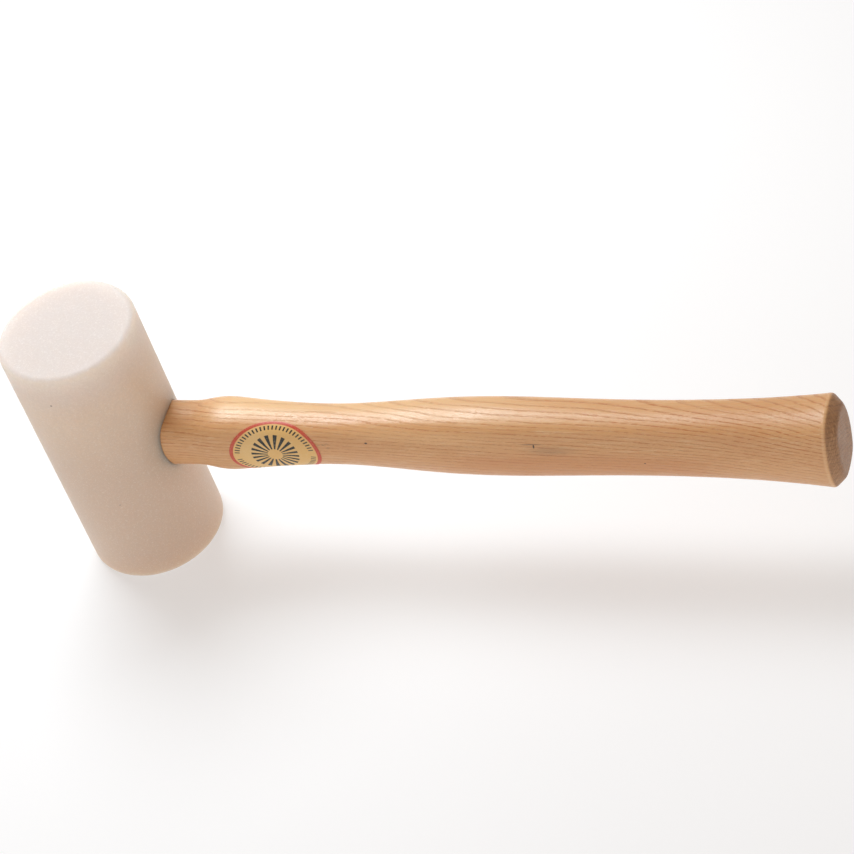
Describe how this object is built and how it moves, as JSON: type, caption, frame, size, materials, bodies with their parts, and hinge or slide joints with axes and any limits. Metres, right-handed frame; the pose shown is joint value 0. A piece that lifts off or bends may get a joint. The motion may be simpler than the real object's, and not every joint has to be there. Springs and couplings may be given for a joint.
{
  "type": "rubber mallet",
  "caption": "White soft-faced mallet: plain cylindrical head on a waisted hardwood handle, for tapping without marking.",
  "frame": {"origin": "centre of the lower striking face, on the head's axis", "axes": "+Z along the head's axis towards the upper striking face, +X from the head along the handle to the butt"},
  "size_m": [0.3123, 0.054, 0.1132],
  "materials": {
    "head": "matt, milky white",
    "handle": "clear lacquered ash",
    "wooden_wedge": "bare hardwood",
    "steel_wedge": "plain steel",
    "label": "printed and varnished"
  },
  "bodies": {
    "root": {"head": "head", "handle": "handle", "wooden_wedge": "wooden_wedge", "steel_wedge_1": "steel_wedge", "steel_wedge_2": "steel_wedge", "label": "label"}
  },
  "joints": []
}
